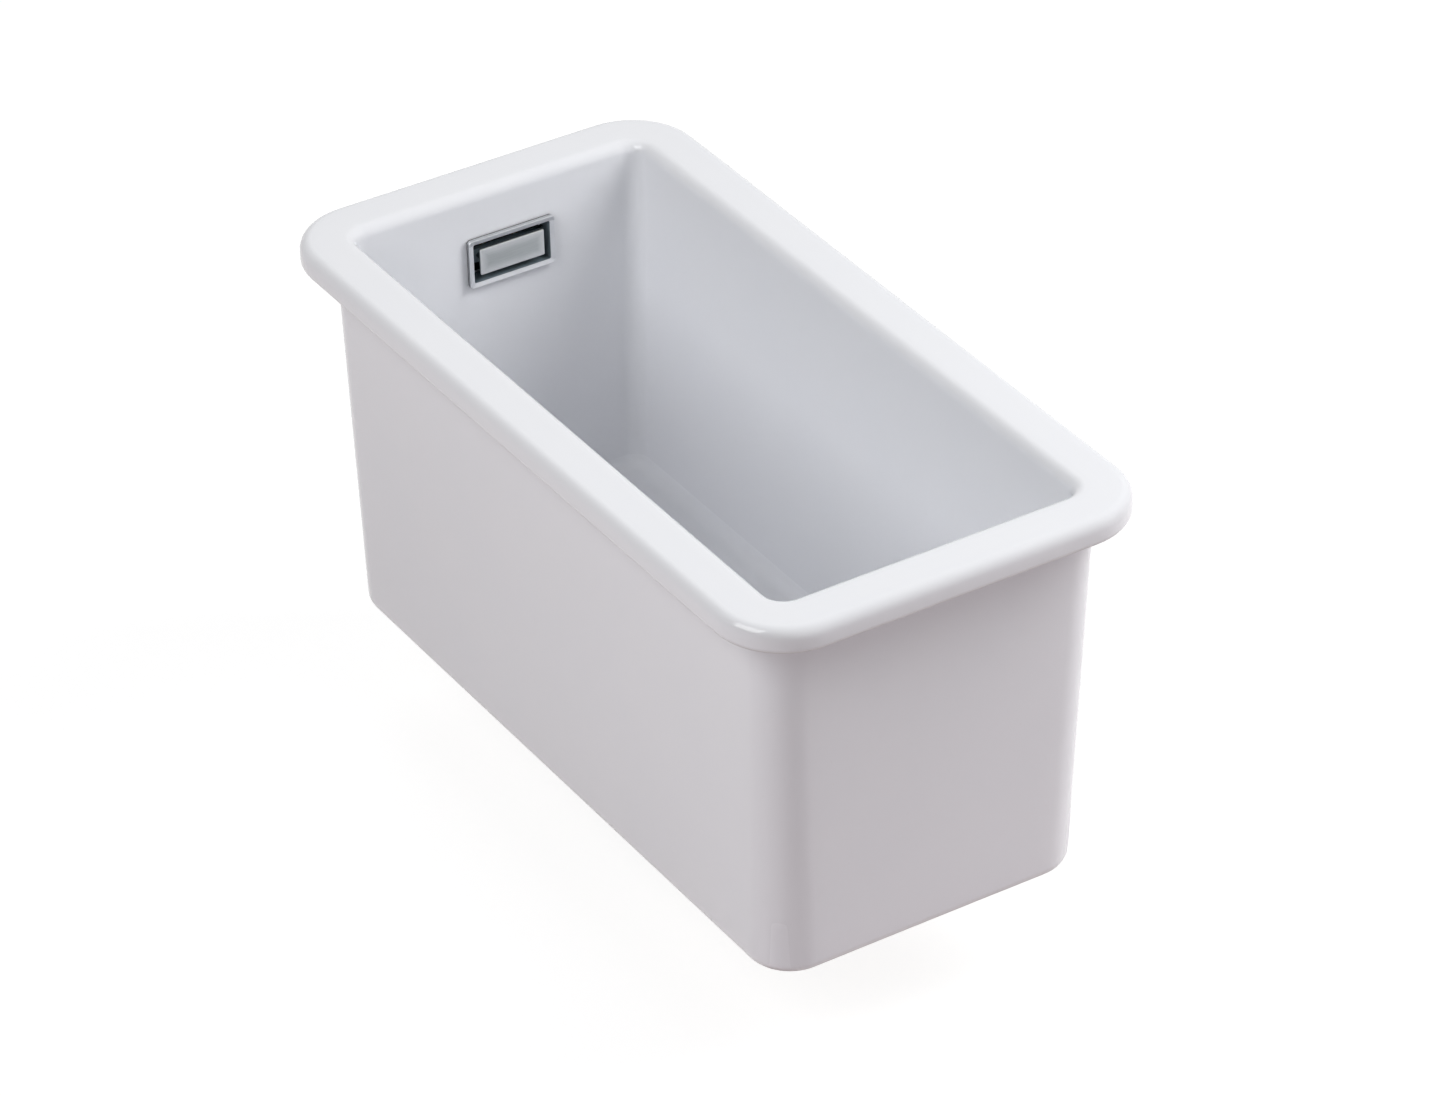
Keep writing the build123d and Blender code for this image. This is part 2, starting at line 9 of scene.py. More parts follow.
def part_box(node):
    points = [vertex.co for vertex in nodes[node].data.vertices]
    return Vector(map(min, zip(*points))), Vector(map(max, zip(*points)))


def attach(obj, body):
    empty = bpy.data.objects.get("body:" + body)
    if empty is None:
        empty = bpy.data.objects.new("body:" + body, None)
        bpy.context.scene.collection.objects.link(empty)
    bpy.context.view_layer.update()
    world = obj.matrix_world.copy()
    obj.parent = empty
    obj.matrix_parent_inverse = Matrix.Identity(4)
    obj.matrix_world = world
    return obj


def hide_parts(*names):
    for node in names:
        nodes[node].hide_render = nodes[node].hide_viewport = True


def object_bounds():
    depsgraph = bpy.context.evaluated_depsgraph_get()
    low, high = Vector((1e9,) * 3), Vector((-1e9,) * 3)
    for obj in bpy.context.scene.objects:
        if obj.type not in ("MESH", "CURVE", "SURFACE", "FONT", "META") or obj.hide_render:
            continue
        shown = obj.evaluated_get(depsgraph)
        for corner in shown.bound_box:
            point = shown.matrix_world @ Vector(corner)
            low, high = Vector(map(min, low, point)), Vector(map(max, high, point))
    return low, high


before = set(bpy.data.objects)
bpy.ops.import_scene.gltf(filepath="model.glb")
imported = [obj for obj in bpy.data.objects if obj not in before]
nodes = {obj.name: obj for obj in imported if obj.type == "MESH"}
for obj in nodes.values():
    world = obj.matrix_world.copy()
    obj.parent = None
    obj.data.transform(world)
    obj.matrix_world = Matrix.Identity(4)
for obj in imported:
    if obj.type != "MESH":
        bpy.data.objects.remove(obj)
cad_low, cad_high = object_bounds()

# Undermount fireclay sink: glaze, overflow plate, hose and waste. Metres, in the part's own frame.

# Bowl, as it is cast
bowl_low, bowl_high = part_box("bowl")
rim_half = (bowl_high - bowl_low) / 2
rim_thickness = 0.017
rim_corner = 0.0435
rim_top_round = 0.007
rim_bottom_round = 0.005
rim_root_round = 0.006
rim_land = 0.0335
opening_half = (rim_half.x - rim_land, rim_half.y - rim_land)
lip_round = 0.0075
bowl_wall = 0.0132
draft = tan(radians(1.4))
wall_corner_top = 0.024
wall_corner_base = 0.028
base_edge_round = 0.009
base_z = bowl_low.z
floor_thickness = 0.030
floor_z = base_z + floor_thickness
floor_round = 0.010
floor_fall = 0.003
basin_corner = 0.011
recess_radius = 0.0575
recess_depth = 0.004
recess_z = floor_z - floor_fall - recess_depth
outlet_radius = 0.045
seat_radius = 0.061
seat_depth = 0.001
seat_z = base_z + seat_depth
glaze_wander = 0.00022
glaze_wave = 0.075

# Overflow plate, on the drafted far wall
overflow_centre = Vector((0.0082, 0.22787, -0.0464))
wall_hole = (0.0558, 0.0286)
wall_hole_corner = 0.0022
wall_hole_points = 32
bezel_half = (0.0298, 0.0162)
bezel_front = 0.0035
slot_front = 0.0027
slot_half_height = 0.013
panel_half = (0.0222, 0.0086)

# Overflow hose, from the housing's spigot down behind the bowl and in to the waste: reach and height
spigot_y = 0.27157
hose_route = (
    (0.27169, -0.0716),
    (0.27169, -0.1832),
    (0.27169, -0.2262),
    (0.2502, -0.2635),
    (0.2129, -0.2850),
    (0.1699, -0.2850),
    (0.0545, -0.2850),
)
hose_out = Vector((overflow_centre.x, spigot_y, 0)).normalized()
hose_side = Vector((hose_out.y, -hose_out.x, 0))
hose_crest = 0.010
hose_valley = 0.0083
hose_cuff = 0.009
hose_bore = 0.0072
hose_cuff_length = 0.024
hose_cuff_edge = 0.0005
hose_pitch = 0.005
hose_rib_steps = 10
hose_rib_fullness = 1.3
hose_bore_steps = 80
hose_sides = 48

# Waste's threaded tail
thread_top = -0.305
thread_end = -0.325
thread_crest = 0.0239
thread_depth = 0.00115
thread_pitch = 0.00231
thread_neck = 0.0012
thread_flank = 1.6
thread_root = 0.3
thread_rows = 8


class Value:
    """A shader socket that can stand in a sum, so that a finish reads as arithmetic."""

    def __init__(self, tree, socket=None):
        self.tree = tree
        self.socket = socket

    def node(self, kind, settings=None, sockets=None, output=0):
        """Adds a node: its settings first, then the values or links of its sockets."""
        made = self.tree.nodes.new("ShaderNode" + kind)
        for name, setting in (settings or {}).items():
            setattr(made, name, setting)
        for name, value in (sockets or {}).items():
            if isinstance(value, Value):
                self.tree.links.new(value.socket, made.inputs[name])
            else:
                made.inputs[name].default_value = value
        return Value(self.tree, made.outputs[output] if made.outputs else None)

    def math(self, operation, *terms):
        return self.node("Math", {"operation": operation}, dict(enumerate(terms)))

    def __add__(self, other):
        return self.math("ADD", self, other)

    def __radd__(self, other):
        return self.math("ADD", other, self)

    def __sub__(self, other):
        return self.math("SUBTRACT", self, other)

    def __rsub__(self, other):
        return self.math("SUBTRACT", other, self)

    def __mul__(self, other):
        return self.math("MULTIPLY", self, other)

    def __rmul__(self, other):
        return self.math("MULTIPLY", other, self)


def place(start):
    """The point on the piece, in the part's frame."""
    return start.node("TexCoord", output="Object")


def axes(point):
    """The three coordinates of a point."""
    return [point.node("SeparateXYZ", None, {0: point}, axis) for axis in range(3)]


def grain(start, point, size, detail=2.0, rough=0.5):
    """Soft cloudy noise from 0 to 1, with features of a size in metres."""
    sockets = {"Vector": point, "Scale": 1 / size, "Detail": detail, "Roughness": rough}
    return start.node("TexNoise", None, sockets)


def rise(value, low, high):
    """Goes smoothly from 0 at one value to 1 at another."""
    sockets = {"Value": value, "From Min": low, "From Max": high}
    return value.node("MapRange", {"interpolation_type": "SMOOTHSTEP"}, sockets)


def tint(factor, first, second):
    """From one colour to another."""
    return factor.node("Mix", {"data_type": "RGBA"}, {0: factor, 6: first, 7: second}, 2)


def facing_up(start):
    """How far the surface faces up: 1 for the top of a level face and -1 for its underside."""
    return axes(start.node("NewGeometry", output="Normal"))[2]


def stretched(start, point, scale):
    """The point with its axes drawn out, for marks that run one way."""
    return start.node("VectorMath", {"operation": "MULTIPLY"}, {0: point, 1: scale})


def bump(height, depth):
    """Surface normal of a fine relief whose full height is a depth in metres."""
    return height.node("Bump", None, {"Height": height, "Distance": depth, "Strength": 1.0})


def finish(name, surface):
    """A material whose shader comes from a function."""
    made = bpy.data.materials.new(name)
    made.use_nodes = True
    made.node_tree.nodes.clear()
    start = Value(made.node_tree)
    start.node("OutputMaterial", None, {"Surface": surface(start)})
    return made


def principled(start, **sockets):
    """The standard surface shader, with underscores for the spaces in its sockets' names."""
    named = {name.replace("_", " "): value for name, value in sockets.items()}
    return start.node("BsdfPrincipled", None, named)


def from_edge(across, upward, half):
    """Distance in from the edge of a rectangle of a half width and a half height about the middle."""
    sideways = half[0] - across.math("ABSOLUTE", across)
    return sideways.math("MINIMUM", sideways, half[1] - upward.math("ABSOLUTE", upward))


def fireclay(start):
    """White gloss glaze over fireclay, with painted shade on its downward faces, scoured matt on the
    basin's floor and bare under the base.
    """
    point = place(start)
    x, y, z = axes(point)
    cloud = grain(start, point, 0.060, 3)
    dimple = grain(start, point, 0.0065, 2)
    speck = rise(grain(start, point, 0.0016, 1), 0.74, 0.80)
    glaze = tint(cloud, (0.842, 0.853, 0.888, 1), (0.870, 0.875, 0.900, 1))
    glaze = tint(speck * 0.10, glaze, (0.60, 0.56, 0.50, 1))
    sand = grain(start, point, 0.0011, 4, 0.7)
    clay = tint(sand, (0.66, 0.60, 0.52, 1), (0.80, 0.76, 0.69, 1))
    bare = 1 - rise(z + (cloud - 0.5) * 0.0012, base_z + 0.0004, base_z + 0.0008)
    # Painted shade: glaze that faces down, under the rim and round the base's edge, is tinted grey for the
    # shade there; the same mask also makes that glaze rougher.
    under = (1 - rise(facing_up(start), -0.75, -0.10)) * (1 - bare)
    glaze = tint(under, glaze, (0.62, 0.61, 0.60, 1))
    inside = rise(from_edge(x, y, opening_half), -0.004, -0.001)
    scoured = (1 - rise(z, floor_z + 0.005, floor_z + 0.011)) * inside * (1 - bare)
    sheen = 0.07 + cloud * 0.06 + under * 0.55 + scoured * 0.42
    relief = dimple * (1 - bare) + sand * bare * 5
    return principled(
        start,
        Base_Color=tint(bare, glaze, clay),
        Roughness=sheen + bare * 0.75,
        Normal=bump(relief, 0.000024),
    )


def on_plate(start):
    """A point on the overflow's plate: its lift off the wall, and its way across and up from the middle."""
    point = place(start)
    x, y, z = axes(point)
    lift = (overflow_centre.y - y) + (z - overflow_centre.z) * draft
    return point, lift, x - overflow_centre.x, z - overflow_centre.z


def bezel_plate(start):
    """Soft bright plating with wiping marks, with painted shade on its sides and on the border above the
    slot, and the slot's walls painted dark slate for the shade inside it.
    """
    point, lift, across, upward = on_plate(start)
    wipe = grain(start, stretched(start, point, (1, 1, 6)), 0.012, 3)
    inward = rise(from_edge(across, upward, bezel_half), 0.0005, 0.0009)
    # Painted shade: inside the slot, behind its front, the plate is coloured dark slate and not metal, for
    # the shade in there.
    inside = (1 - rise(lift, slot_front - 0.0005, slot_front)) * inward
    side = (1 - rise(lift, bezel_front - 0.0012, bezel_front + 0.0002)) * (1 - inward)
    # Painted light and shade: the plate's sides are tinted dark where they face down or sideways and
    # lighter where they face up.
    painted_top_light = rise(facing_up(start), 0.2, 0.8)
    shaded_sides = tint(painted_top_light, (0.35, 0.36, 0.38, 1), (0.60, 0.61, 0.63, 1))
    # Painted shade: the border above the slot is tinted darker than the rest of the plate's face.
    painted_top_border_shade = rise(upward, slot_half_height - 0.0004, slot_half_height + 0.0004)
    face = tint(painted_top_border_shade, (0.84, 0.85, 0.87, 1), (0.64, 0.65, 0.67, 1))
    plating = tint(side, face, shaded_sides)
    return principled(
        start,
        Base_Color=tint(inside, plating, (0.17, 0.215, 0.245, 1)),
        Metallic=1 - inside,
        Roughness=0.44 + wipe * 0.10,
        Normal=bump(wipe, 0.00001),
    )


def knob_plate(start):
    """Bright plated metal of the knob, with faint wiping marks."""
    point = place(start)
    wipe = grain(start, stretched(start, point, (1, 1, 6)), 0.008, 3)
    return principled(
        start,
        Base_Color=tint(wipe, (0.78, 0.79, 0.81, 1), (0.83, 0.835, 0.845, 1)),
        Metallic=1.0,
        Roughness=0.05 + wipe * 0.09,
        Normal=bump(wipe, 0.00001),
    )


def brush_marks(start, point):
    """Short brush marks from side to side, and the clouds that handling leaves."""
    brush = grain(start, stretched(start, point, (0.04, 1, 1)), 0.00045, 3, 0.6)
    cloud = grain(start, point, 0.018, 2)
    return brush, cloud


def satin(start):
    """Stainless steel with short brush marks from side to side."""
    point = place(start)
    brush, cloud = brush_marks(start, point)
    return principled(
        start,
        Base_Color=tint(brush, (0.50, 0.53, 0.53, 1), (0.68, 0.71, 0.70, 1)),
        Metallic=0.9,
        Roughness=0.30 + brush * 0.10 + cloud * 0.06,
        Normal=bump(brush, 0.000012),
    )


def panel_steel(start):
    """Brushed steel of the overflow's panel, with a painted highlight along its edges and painted shade on
    its back.
    """
    point, lift, across, upward = on_plate(start)
    brush, cloud = brush_marks(start, point)
    # Painted highlight: a band along the panel's edges, with a ragged inner edge, is tinted brighter.
    painted_edge_highlight = 1 - rise(from_edge(across, upward, panel_half) + (cloud - 0.5) * 0.003, 0.0004, 0.0062)
    # Painted shade: the panel's back, seen through the slot, is coloured dark for the shade behind the
    # plate.
    behind = 1 - rise(lift, slot_front - 0.0012, slot_front - 0.0004)
    middle = tint(brush, (0.49, 0.52, 0.52, 1), (0.68, 0.71, 0.70, 1))
    face = tint(painted_edge_highlight * 0.85, middle, (0.83, 0.84, 0.84, 1))
    return principled(
        start,
        Base_Color=tint(behind, face, (0.14, 0.175, 0.20, 1)),
        Metallic=0.9,
        Roughness=0.30 + brush * 0.10 + cloud * 0.06,
        Normal=bump(brush, 0.000012),
    )


def spun(start):
    """Bright pressed steel with rings left by the spinning tool."""
    point = place(start)
    flat = stretched(start, point, (1, 1, 0))
    radius = start.node("VectorMath", {"operation": "LENGTH"}, {0: flat}, "Value")
    turn = start.node("CombineXYZ", None, {0: radius, 2: axes(point)[2]})
    ring = grain(start, turn, 0.00035, 2, 0.6)
    cloud = grain(start, point, 0.020, 2)
    return principled(
        start,
        Base_Color=tint(ring, (0.62, 0.62, 0.61, 1), (0.74, 0.74, 0.73, 1)),
        Metallic=1.0,
        Roughness=0.14 + ring * 0.10 + cloud * 0.06,
        Normal=bump(ring, 0.00001),
    )


def rubber(start):
    """Black seal rubber with a faint bloom."""
    point = place(start)
    bloom = grain(start, point, 0.009, 4, 0.6)
    pore = grain(start, point, 0.0006, 2)
    return principled(
        start,
        Base_Color=tint(rise(bloom, 0.35, 0.75), (0.020, 0.020, 0.022, 1), (0.050, 0.049, 0.048, 1)),
        Roughness=0.58 + bloom * 0.22,
        Normal=bump(pore, 0.00003),
    )


def moulded(start):
    """Black moulded plastic with a fine spark-eroded grain."""
    point = place(start)
    spark = grain(start, point, 0.0007, 2, 0.7)
    flow = grain(start, stretched(start, point, (1, 1, 0.4)), 0.022, 3)
    return principled(
        start,
        Base_Color=tint(flow, (0.022, 0.023, 0.025, 1), (0.036, 0.037, 0.040, 1)),
        Roughness=0.36 + flow * 0.10 + spark * 0.08,
        Normal=bump(spark, 0.00003),
    )


def hose_grey(start):
    """Pale grey blown plastic of the hose, a little dusty in patches."""
    point = place(start)
    dust = grain(start, point, 0.014, 4, 0.6)
    pore = grain(start, point, 0.0008, 2)
    return principled(
        start,
        Base_Color=tint(dust, (0.52, 0.53, 0.54, 1), (0.66, 0.67, 0.68, 1)),
        Roughness=0.34 + dust * 0.18,
        Normal=bump(pore, 0.00003),
    )


def brass(start):
    """Turned brass with the lathe's fine rings, browned by the damp."""
    point = place(start)
    ring = grain(start, stretched(start, point, (0.1, 1, 1)), 0.0005, 2)
    return principled(
        start,
        Base_Color=tint(ring, (0.20, 0.15, 0.09, 1), (0.36, 0.27, 0.15, 1)),
        Metallic=1.0,
        Roughness=0.34 + ring * 0.16,
        Normal=bump(ring, 0.00002),
    )


glaze_finish = finish("glazed_fireclay", fireclay)
bezel_finish = finish("plated_bezel", bezel_plate)
knob_finish = finish("polished_knob", knob_plate)
satin_finish = finish("satin_steel", satin)
panel_finish = finish("panel_steel", panel_steel)
spun_finish = finish("spun_steel", spun)
rubber_finish = finish("seal_rubber", rubber)
plastic_finish = finish("black_plastic", moulded)
hose_finish = finish("hose_plastic", hose_grey)
brass_finish = finish("turned_brass", brass)

node_finishes = {
    "overflow_bezel": bezel_finish,
    "overflow_panel": panel_finish,
    "overflow_front_seal": rubber_finish,
    "overflow_rear_seal": rubber_finish,
    "overflow_screws": satin_finish,
    "overflow_inserts": brass_finish,
    "overflow_housing": plastic_finish,
    "hose_upper_washer": rubber_finish,
    "hose_upper_nut": plastic_finish,
    "hose_lower_washer": rubber_finish,
    "hose_lower_nut": plastic_finish,
    "waste_flange": spun_finish,
    "waste_flange_seal": rubber_finish,
    "waste_gasket": rubber_finish,
    "waste_insert": brass_finish,
    "screw_washer": satin_finish,
    "waste_screw": satin_finish,
    "basket": spun_finish,
    "basket_seal": rubber_finish,
    "basket_stem": satin_finish,
    "basket_knob": knob_finish,
    "basket_clip": satin_finish,
}
for name, material in node_finishes.items():
    nodes[name].material_slots[0].link = "OBJECT"
    nodes[name].material_slots[0].material = material


def piece(name, mesh, material, body, slot, *stands_for):
    """Puts a mesh into the scene as a piece of the sink."""
    made = bpy.data.objects.new(name, mesh)
    bpy.context.scene.collection.objects.link(made)
    mesh.materials.clear()
    mesh.materials.append(material)
    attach(made, body)
    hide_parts(*stands_for)
    return made


def skin(loops, name, close):
    """Mesh of closed loops of points joined in order, and the last to the first where it closes."""
    body = bmesh.new()
    rows = [[body.verts.new(point) for point in loop] for loop in loops]
    pairs = list(zip(rows, rows[1:]))
    if close:
        pairs.append((rows[-1], rows[0]))
    for low, high in pairs:
        for index in range(len(low)):
            after = (index + 1) % len(low)
            body.faces.new((low[index], low[after], high[after], high[index]))
    bmesh.ops.recalc_face_normals(body, faces=body.faces)
    mesh = bpy.data.meshes.new(name)
    body.to_mesh(mesh)
    body.free()
    mesh.shade_smooth()
    return mesh


def arc(out, height, radius, first, last, steps):
    """Points of a rounded edge's section about its centre, between two angles in degrees."""
    angles = [radians(first + (last - first) * step / steps) for step in range(steps + 1)]
    return [(out + radius * cos(a), height + radius * sin(a)) for a in angles]


def between(start, end, steps):
    """Evenly spaced points of a section from one point to another, without the ends."""
    shares = [step / steps for step in range(1, steps)]
    return [(start[0] + (end[0] - start[0]) * s, start[1] + (end[1] - start[1]) * s) for s in shares]


# How finely the bowl's skin is divided
corner_steps = 14
side_steps = (18, 40)
edge_steps = 7
lip_steps = 9
floor_round_steps = 12
wall_steps = 14
rim_steps = 5
basin_steps = 16
floor_shares = (0.05, 0.25, 0.5, 0.75, 0.95)
base_shares = (0.1, 0.5, 0.9)


def rounded_loop(out, height, corner):
    """Rounded rectangle a distance outside the bowl's opening, at a height."""
    half_x, half_y = (half + out for half in opening_half)
    flat_x, flat_y = half_x - corner, half_y - corner
    points = []
    for quarter in range(4):
        turn = quarter * pi / 2
        along = (flat_y, flat_x)[quarter % 2]
        steps = side_steps[1 - quarter % 2]
        corner_x = (1, -1, -1, 1)[quarter] * flat_x
        corner_y = (1, 1, -1, -1)[quarter] * flat_y
        normal = Vector((cos(turn), sin(turn)))
        forward = Vector((-sin(turn), cos(turn)))
        middle = normal * ((half_x, half_y)[quarter % 2])
        for step in range(steps):
            flat = middle + forward * along * (2 * step / steps - 1)
            points.append(Vector((flat.x, flat.y, height)))
        for step in range(corner_steps):
            angle = turn + pi / 2 * step / corner_steps
            points.append(Vector((corner_x + corner * cos(angle), corner_y + corner * sin(angle), height)))
    return points


def round_loop(radius, height, like):
    """Circle whose points lie in the same directions as those of a rounded rectangle."""
    half_x = max(point.x for point in like)
    half_y = max(point.y for point in like)
    angles = [atan2(point.y / half_y, point.x / half_x) for point in like]
    return [Vector((radius * cos(a), radius * sin(a), height)) for a in angles]


def outer_corner(height):
    """Corner radius of the outer walls, which grows towards the base."""
    return wall_corner_top + (wall_corner_base - wall_corner_top) * height / base_z


def bowl_loops():
    """Loops of the bowl's skin: up the walls, over the rim, down the basin and out under the base."""
    loops = []

    def follow(section, corner):
        for out, height in section:
            loops.append(rounded_loop(out, height, corner(out, height)))

    edge_z = base_z + base_edge_round
    base_out = bowl_wall + edge_z * draft
    base_arc = arc(base_out - base_edge_round, edge_z, base_edge_round, -90, 0, edge_steps)
    root_out = bowl_wall - rim_thickness * draft
    root_z = -rim_thickness - rim_root_round
    root_arc = arc(root_out + rim_root_round, root_z, rim_root_round, 180, 90, edge_steps)
    under_z = rim_bottom_round - rim_thickness
    under_arc = arc(rim_land - rim_bottom_round, under_z, rim_bottom_round, -90, 0, edge_steps)
    top_arc = arc(rim_land - rim_top_round, -rim_top_round, rim_top_round, 0, 90, lip_steps)
    lip_arc = arc(lip_round, -lip_round, lip_round, 90, 180, lip_steps)
    floor_out = (floor_z + floor_round) * draft
    floor_arc = arc(floor_out - floor_round, floor_z + floor_round, floor_round, 0, -90, floor_round_steps)

    follow(base_arc, lambda out, height: wall_corner_base - (base_out - out))
    follow(between(base_arc[-1], root_arc[0], wall_steps), lambda out, height: outer_corner(height))
    follow(root_arc, lambda out, height: wall_corner_top + (out - root_out))
    follow(under_arc, lambda out, height: rim_corner - (rim_land - out))
    follow(top_arc, lambda out, height: rim_corner - (rim_land - out))
    top_corner = rim_corner - rim_top_round
    lip_corner = basin_corner + lip_round
    share = (top_corner - lip_corner) / (rim_land - rim_top_round - lip_round)
    flat_top = between(top_arc[-1], lip_arc[0], rim_steps)
    follow(flat_top, lambda out, height: lip_corner + share * (out - lip_round))
    follow(lip_arc, lambda out, height: basin_corner + out)
    follow(between(lip_arc[-1], floor_arc[0], basin_steps), lambda out, height: basin_corner)
    follow(floor_arc, lambda out, height: basin_corner - (floor_out - out))

    floor_edge = loops[-1]
    recess_edge = round_loop(recess_radius, floor_z - floor_fall, floor_edge)
    for share in floor_shares:
        loops.append([a.lerp(b, share) for a, b in zip(floor_edge, recess_edge)])
    for radius, height in (
        (recess_radius, floor_z - floor_fall),
        (recess_radius, recess_z),
        (outlet_radius, recess_z),
        (outlet_radius, seat_z),
        (seat_radius, seat_z),
        (seat_radius, base_z),
    ):
        loops.append(round_loop(radius, height, floor_edge))
    base_edge = loops[0]
    for share in base_shares:
        loops.append([a.lerp(b, share) for a, b in zip(loops[-1], base_edge)])
    return loops


def sunk_by_glaze(mesh):
    """Lets the fired surface wander a little below its true faces, as cast clay does."""
    normals = [vertex.normal.copy() for vertex in mesh.vertices]
    for vertex, normal in zip(mesh.vertices, normals):
        swing = noise.noise(vertex.co / glaze_wave) * 0.5 - 0.5
        vertex.co += normal * swing * glaze_wander


def overflow_place():
    """The overflow's own frame: x to the right, y up the drafted wall, z into the bowl."""
    out = Vector((0, -1, draft)).normalized()
    across = Vector((1, 0, 0))
    made = Matrix((across, out.cross(across), out)).transposed().to_4x4()
    made.translation = overflow_centre
    return made


def hole_cutter():
    """Bar with rounded corners that cuts the overflow's hole through the far wall."""
    half_x, half_y = wall_hole[0] / 2 - wall_hole_corner, wall_hole[1] / 2 - wall_hole_corner
    outline = []
    for index in range(wall_hole_points):
        angle = tau * (index + 0.5) / wall_hole_points
        x = wall_hole_corner * cos(angle) + (half_x if cos(angle) > 0 else -half_x)
        y = wall_hole_corner * sin(angle) + (half_y if sin(angle) > 0 else -half_y)
        outline.append((x, y))
    body = bmesh.new()
    ends = [[body.verts.new((x, y, z)) for x, y in outline] for z in (-2 * bowl_wall, bowl_wall)]
    body.faces.new(ends[0])
    body.faces.new(ends[1])
    for index in range(len(outline)):
        after = (index + 1) % len(outline)
        body.faces.new((ends[0][index], ends[0][after], ends[1][after], ends[1][index]))
    bmesh.ops.recalc_face_normals(body, faces=body.faces)
    mesh = bpy.data.meshes.new("overflow_hole")
    body.to_mesh(mesh)
    body.free()
    mesh.transform(overflow_place())
    return mesh


def cut_out(mesh, cutter):
    """A mesh with another taken away from it."""
    target = bpy.data.objects.new("cut", mesh)
    tool = bpy.data.objects.new("tool", cutter)
    for made in (target, tool):
        bpy.context.scene.collection.objects.link(made)
    change = target.modifiers.new("hole", "BOOLEAN")
    change.operation = "DIFFERENCE"
    change.object = tool
    ready = target.evaluated_get(bpy.context.evaluated_depsgraph_get())
    result = bpy.data.meshes.new_from_object(ready)
    for made in (target, tool):
        bpy.data.objects.remove(made)
    return result


def make_bowl():
    """The glazed casting, with the overflow's hole through its far wall."""
    mesh = skin(bowl_loops(), "bowl_skin", close=True)
    sunk_by_glaze(mesh)
    mesh = cut_out(mesh, hole_cutter())
    mesh.shade_smooth()
    mesh.set_sharp_from_angle(angle=radians(40))
    return piece("glazed_bowl", mesh, glaze_finish, "sink", "glazed_fireclay", "bowl")


def hose_line():
    """Points of the hose's centre line, close together, read from one smooth curve along its route."""
    curve = bpy.data.curves.new("hose_line", "CURVE")
    curve.dimensions = "3D"
    curve.resolution_u = 40
    line = curve.splines.new("NURBS")
    line.points.add(len(hose_route) - 1)
    for point, (reach, height) in zip(line.points, hose_route):
        point.co = (*(hose_out * reach).xy, height, 1)
    line.order_u = 3
    line.use_endpoint_u = True
    holder = bpy.data.objects.new("hose_line", curve)
    traced = bpy.data.meshes.new_from_object(holder)
    points = [vertex.co.copy() for vertex in traced.vertices]
    bpy.data.objects.remove(holder)
    return points


def hose_rings(total):
    """Length along the hose and radius of each of its rings: the ribbed outside, then back up the bore."""
    ribbed = total - 2 * hose_cuff_length
    steps = hose_rib_steps
    count = round(ribbed / hose_pitch) * steps
    cuff = [(0, hose_cuff - hose_cuff_edge), (hose_cuff_edge, hose_cuff)]
    cuff += [(hose_cuff_length * share, hose_cuff) for share in (0.3, 0.6, 0.9)]
    ribs = []
    for step in range(count + 1):
        swell = sin(pi * (step % steps) / steps) ** hose_rib_fullness
        along = hose_cuff_length + ribbed * step / count
        ribs.append((along, hose_valley + (hose_crest - hose_valley) * swell))
    far_cuff = [(total - along, radius) for along, radius in reversed(cuff)]
    bore = [(total * (1 - step / hose_bore_steps), hose_bore) for step in range(hose_bore_steps + 1)]
    return cuff + ribs + far_cuff + bore


def make_hose():
    """The hose with its rounded ribs, along its route from the housing to the waste."""
    points = hose_line()
    lengths = [0.0]
    for before, after in zip(points, points[1:]):
        lengths.append(lengths[-1] + (after - before).length)

    def hose_ring(length, radius):
        index = min(max(bisect(lengths, length), 1), len(points) - 1)
        start, end = points[index - 1], points[index]
        share = (length - lengths[index - 1]) / (lengths[index] - lengths[index - 1])
        across = (end - start).normalized().cross(hose_side)
        centre = start.lerp(end, share)
        angles = [tau * step / hose_sides for step in range(hose_sides)]
        return [centre + (hose_side * cos(a) + across * sin(a)) * radius for a in angles]

    loops = [hose_ring(length, radius) for length, radius in hose_rings(lengths[-1])]
    mesh = skin(loops, "hose_skin", close=True)
    mesh.set_sharp_from_angle(angle=radians(60))
    return piece("ribbed_hose", mesh, hose_finish, "sink", "hose_plastic", "overflow_hose")


def thread_radius(point):
    """Radius of the tail's thread at a point, with a plain neck at each end."""
    turn = (point.z - thread_top) / thread_pitch - atan2(point.y, point.x) / tau
    ridge = 1 - abs(2 * (turn - floor(turn)) - 1)
    ridge = min(max(thread_flank * ridge - thread_root, 0), 1)
    from_end = min(thread_top - point.z, point.z - thread_end)
    depth = min(max(from_end / thread_neck - 1, 0), 1)
    return thread_crest - thread_depth * (1 - ridge * depth)


